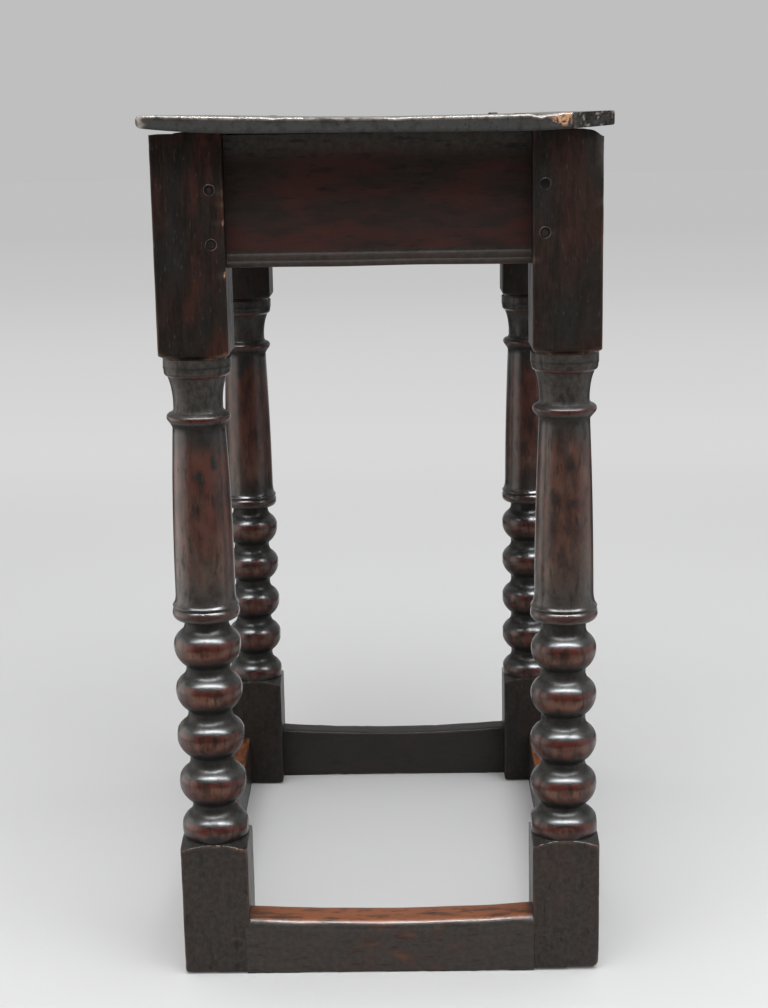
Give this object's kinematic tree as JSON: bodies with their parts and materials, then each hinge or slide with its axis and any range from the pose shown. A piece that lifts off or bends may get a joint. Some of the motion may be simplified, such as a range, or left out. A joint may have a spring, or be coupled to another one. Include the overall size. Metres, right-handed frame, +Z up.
{
  "type": "joint stool",
  "caption": "Small rectangular oak stool with a thin cupped seat board, beaded rails, legs turned as stacked balls below a column, and low worn stretchers.",
  "frame": {"origin": "on the floor, under the middle of the stool", "axes": "+X across the narrow way, +Y along the seat with the front end towards -Y, +Z up"},
  "size_m": [0.286, 0.428, 0.5593],
  "materials": {
    "seat_oak": "old dark oak under worn wax, greyish on its edges",
    "turned_oak": "polished dark oak, reddish where it is rubbed",
    "frame_oak": "dark oak with a dull wax polish",
    "worn_oak": "dark oak, its top worn smooth and lighter brown",
    "peg_oak": "dark oak end grain"
  },
  "bodies": {
    "root": {"top_board": "seat_oak", "front_left_leg": "turned_oak", "front_right_leg": "turned_oak", "back_right_leg": "turned_oak", "back_left_leg": "turned_oak", "front_rail": "frame_oak", "right_rail": "frame_oak", "back_rail": "frame_oak", "left_rail": "frame_oak", "front_stretcher": "worn_oak", "right_stretcher": "worn_oak", "back_stretcher": "worn_oak", "left_stretcher": "worn_oak", "front_rail_pegs": "peg_oak", "right_rail_pegs": "peg_oak", "back_rail_pegs": "peg_oak", "left_rail_pegs": "peg_oak", "front_stretcher_pegs": "peg_oak", "right_stretcher_pegs": "peg_oak", "back_stretcher_pegs": "peg_oak", "left_stretcher_pegs": "peg_oak", "top_pegs": "peg_oak"}
  },
  "joints": []
}
